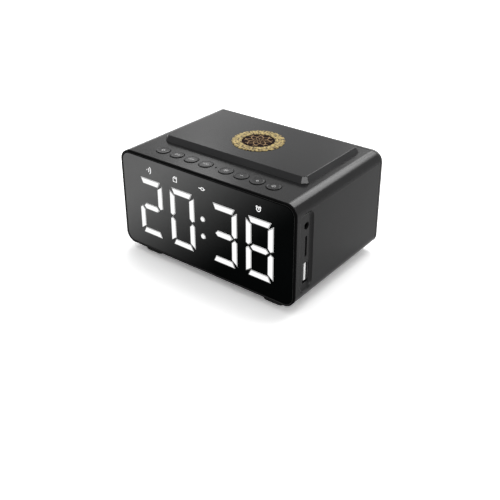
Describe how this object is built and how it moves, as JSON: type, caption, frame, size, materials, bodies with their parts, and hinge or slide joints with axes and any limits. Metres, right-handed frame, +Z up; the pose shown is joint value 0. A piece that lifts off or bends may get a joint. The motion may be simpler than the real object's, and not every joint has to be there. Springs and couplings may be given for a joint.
{
  "type": "desktop alarm clock",
  "caption": "Black desktop alarm clock with a large segment display, a row of push buttons, a raised charging pad, side sockets and perforated speaker grilles.",
  "frame": {"origin": "centre of the footprint, on the surface that the feet stand on", "axes": "+X to the right seen from the front, +Y towards the back, +Z up"},
  "size_m": [0.131, 0.0926, 0.073],
  "materials": {
    "housing": "satin black moulding",
    "bezel": "smooth black moulding",
    "lens": "glossy black panel",
    "light_guide": "white, lit",
    "dark_plastic": "black",
    "circuit_board": "green board",
    "cap": "satin black",
    "gold": "satin gold",
    "ornament": "dark brown",
    "copper": "wound copper",
    "ferrite": "dark grey",
    "steel": "plated",
    "white_plastic": "white",
    "cone": "coated paper",
    "magnet": "zinc plated",
    "cell_wrap": "shrink wrap",
    "rubber": "matt black"
  },
  "bodies": {
    "clock": {"housing_sleeve": "housing", "front_bezel": "bezel", "display_lens": "lens", "display_reflector": "dark_plastic", "lit_segments": "light_guide", "display_board": "circuit_board", "main_board": "circuit_board", "key_board": "circuit_board", "microphone": "rubber", "tact_switch_1": "dark_plastic", "tact_switch_2": "dark_plastic", "tact_switch_3": "dark_plastic", "tact_switch_4": "dark_plastic", "tact_switch_5": "dark_plastic", "tact_switch_6": "dark_plastic", "tact_switch_7": "dark_plastic", "tact_switch_8": "dark_plastic", "charging_pad": "housing", "ornament_ring": "gold", "ornament_centre": "ornament", "charging_coil": "copper", "ferrite_sheet": "ferrite", "coil_carrier": "dark_plastic", "usb_shell": "steel", "usb_tongue": "white_plastic", "jack_socket": "dark_plastic", "card_socket": "steel", "rear_cover": "bezel", "lower_left_screw": "steel", "lower_right_screw": "steel", "upper_left_screw": "steel", "upper_right_screw": "steel", "left_speaker_frame": "dark_plastic", "left_speaker_cone": "cone", "left_speaker_magnet": "magnet", "right_speaker_frame": "dark_plastic", "right_speaker_cone": "cone", "right_speaker_magnet": "magnet", "inlet_shell": "steel", "inlet_tongue": "dark_plastic", "inlet_board": "circuit_board", "battery_cell": "cell_wrap", "battery_cradle": "dark_plastic", "front_left_foot": "rubber", "front_right_foot": "rubber", "rear_left_foot": "rubber", "rear_right_foot": "rubber"},
    "key_1": {"button_1": "cap"},
    "key_2": {"button_2": "cap"},
    "key_3": {"button_3": "cap"},
    "key_4": {"button_4": "cap"},
    "key_5": {"button_5": "cap"},
    "key_6": {"button_6": "cap"},
    "key_7": {"button_7": "cap"},
    "key_8": {"button_8": "cap"}
  },
  "joints": [
    {"name": "press_1", "type": "slide", "parent": "clock", "child": "key_1", "axis": [0, 0, -1], "range_m": [0, 0.0006], "stiffness_N_per_m": 500, "springref_m": -0.0004},
    {"name": "press_2", "type": "slide", "parent": "clock", "child": "key_2", "axis": [0, 0, -1], "range_m": [0, 0.0006], "stiffness_N_per_m": 500, "springref_m": -0.0004},
    {"name": "press_3", "type": "slide", "parent": "clock", "child": "key_3", "axis": [0, 0, -1], "range_m": [0, 0.0006], "stiffness_N_per_m": 500, "springref_m": -0.0004},
    {"name": "press_4", "type": "slide", "parent": "clock", "child": "key_4", "axis": [0, 0, -1], "range_m": [0, 0.0006], "stiffness_N_per_m": 500, "springref_m": -0.0004},
    {"name": "press_5", "type": "slide", "parent": "clock", "child": "key_5", "axis": [0, 0, -1], "range_m": [0, 0.0006], "stiffness_N_per_m": 500, "springref_m": -0.0004},
    {"name": "press_6", "type": "slide", "parent": "clock", "child": "key_6", "axis": [0, 0, -1], "range_m": [0, 0.0006], "stiffness_N_per_m": 500, "springref_m": -0.0004},
    {"name": "press_7", "type": "slide", "parent": "clock", "child": "key_7", "axis": [0, 0, -1], "range_m": [0, 0.0006], "stiffness_N_per_m": 500, "springref_m": -0.0004},
    {"name": "press_8", "type": "slide", "parent": "clock", "child": "key_8", "axis": [0, 0, -1], "range_m": [0, 0.0006], "stiffness_N_per_m": 500, "springref_m": -0.0004}
  ]
}
